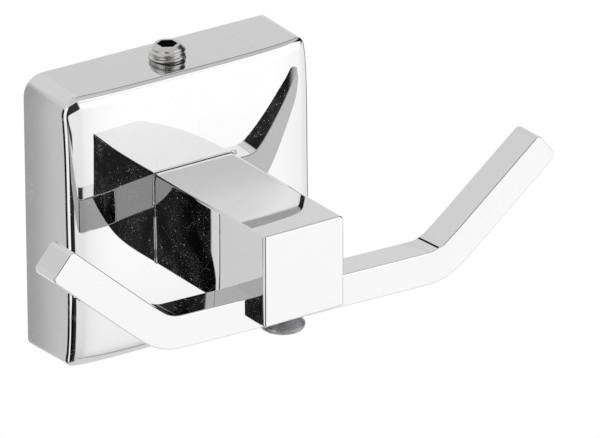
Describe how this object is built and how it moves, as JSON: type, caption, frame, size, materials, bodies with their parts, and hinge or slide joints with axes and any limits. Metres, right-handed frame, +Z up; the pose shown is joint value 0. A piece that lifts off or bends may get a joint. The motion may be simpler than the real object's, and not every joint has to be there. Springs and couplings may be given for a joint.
{
  "type": "towel hook",
  "caption": "Wall-mounted double towel hook: a square domed flange, a square post and one square bar with both ends bent up.",
  "frame": {"origin": "middle of the flange's back, on the wall's plane", "axes": "+Y into the wall, -Y out of it towards the room, +Z up, +X to the right of someone facing the wall"},
  "size_m": [0.0969, 0.0447, 0.0502],
  "materials": {
    "flange_chrome": "polished chrome plate with fine dust",
    "post_chrome": "polished chrome plate with fine speckles",
    "bar_chrome": "polished chrome plate",
    "bar_screw_chrome": "bright nickel plate",
    "set_screw_nickel": "bright nickel plate on a cut thread",
    "bracket_zinc": "zinc plate",
    "fastener_zinc": "zinc plate"
  },
  "bodies": {
    "root": {"flange": "flange_chrome", "post": "post_chrome", "hook_bar": "bar_chrome", "bar_screw": "bar_screw_chrome", "set_screw": "set_screw_nickel", "wall_bracket": "bracket_zinc", "post_screw": "fastener_zinc", "post_washer": "fastener_zinc"}
  },
  "joints": []
}
